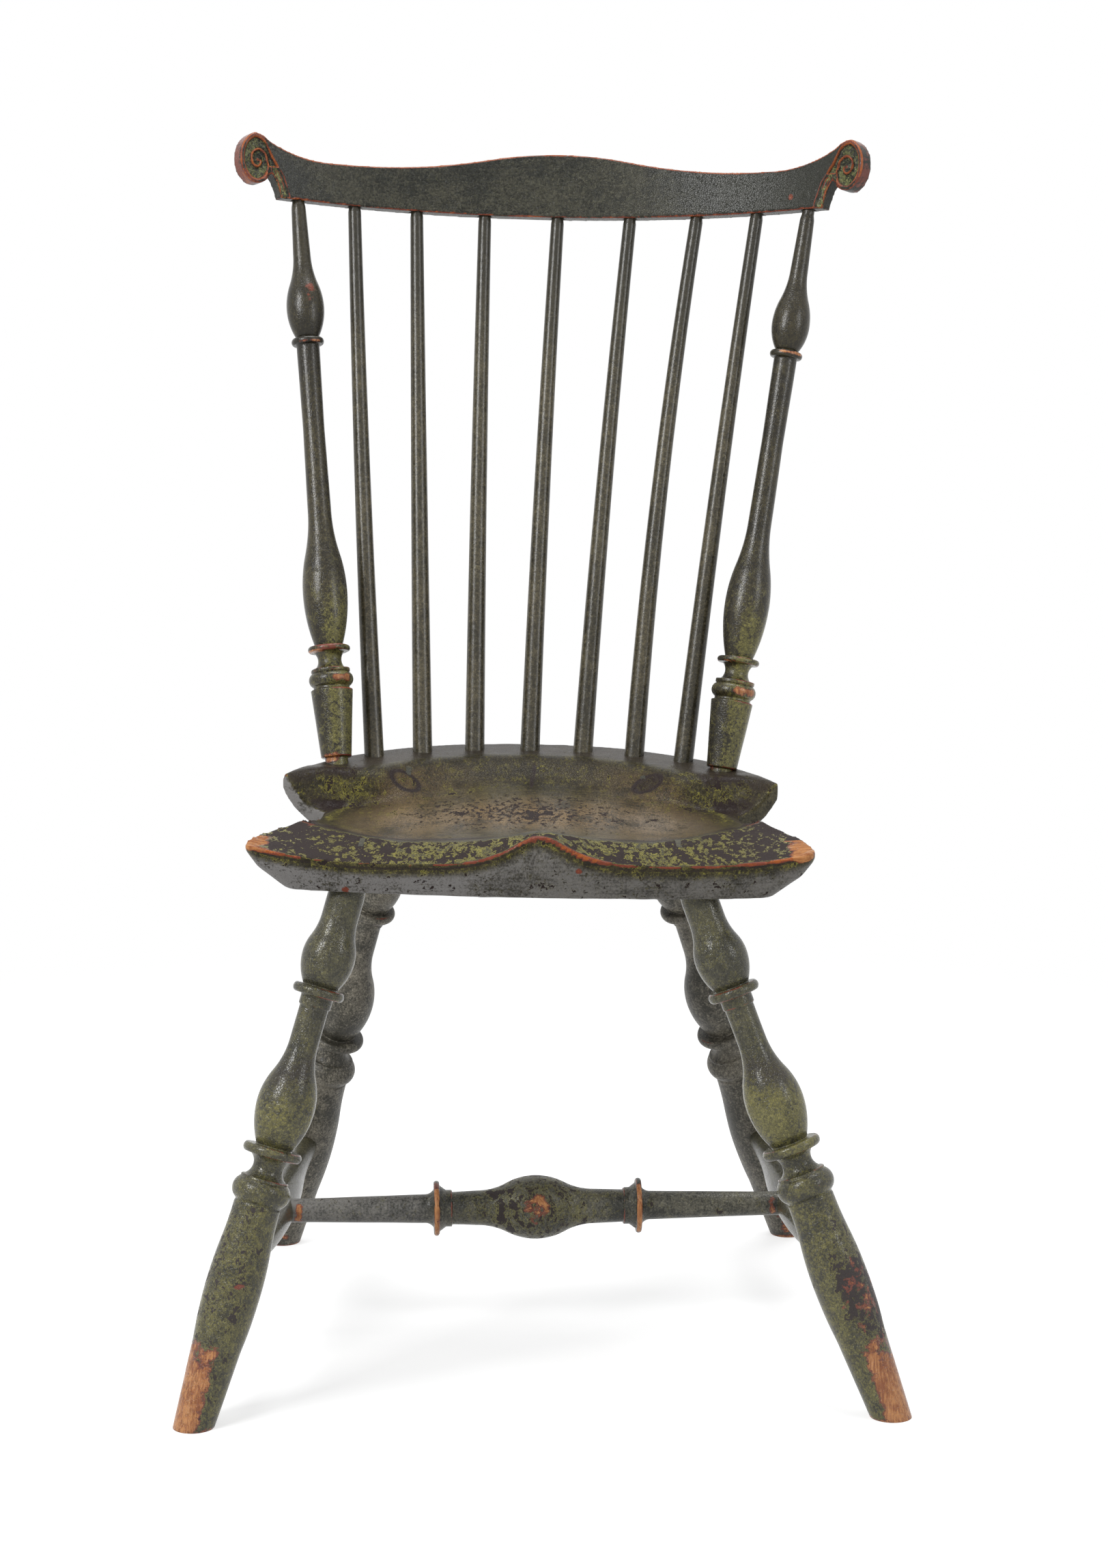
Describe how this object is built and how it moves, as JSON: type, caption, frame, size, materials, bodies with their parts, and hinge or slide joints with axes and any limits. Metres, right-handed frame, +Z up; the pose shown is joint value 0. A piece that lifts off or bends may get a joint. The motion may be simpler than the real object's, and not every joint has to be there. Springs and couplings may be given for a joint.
{
  "type": "windsor side chair",
  "caption": "Painted fan-back Windsor side chair with a carved crest rail, saddled shield seat, tapered spindles, turned posts and splayed turned legs joined by stretchers.",
  "frame": {"origin": "centre of the bounding box on the floor plane", "axes": "+Z up from the floor, -Y towards the front of the seat, +X to the right in a front view"},
  "size_m": [0.5654, 0.5569, 0.9498],
  "materials": {
    "seat_paint": "worn olive green paint over wood, semi-gloss",
    "crest_paint": "dark green paint with worn edges, semi-gloss",
    "turned_paint": "dark green paint with fine crackle, semi-gloss",
    "worn_wood": "bare wood darkened by age"
  },
  "bodies": {
    "root": {"seat": "seat_paint", "crest_rail": "crest_paint", "back_post_left": "turned_paint", "back_post_right": "turned_paint", "spindle_1": "turned_paint", "spindle_2": "turned_paint", "spindle_3": "turned_paint", "spindle_4": "turned_paint", "spindle_5": "turned_paint", "spindle_6": "turned_paint", "spindle_7": "turned_paint", "leg_front_left": "turned_paint", "leg_front_right": "turned_paint", "leg_rear_left": "turned_paint", "leg_rear_right": "turned_paint", "side_stretcher_left": "turned_paint", "side_stretcher_right": "turned_paint", "medial_stretcher": "turned_paint", "leg_wedge_front_left": "worn_wood", "leg_wedge_front_right": "worn_wood", "leg_wedge_rear_left": "worn_wood", "leg_wedge_rear_right": "worn_wood", "post_peg_left": "worn_wood", "post_peg_right": "worn_wood"}
  },
  "joints": []
}
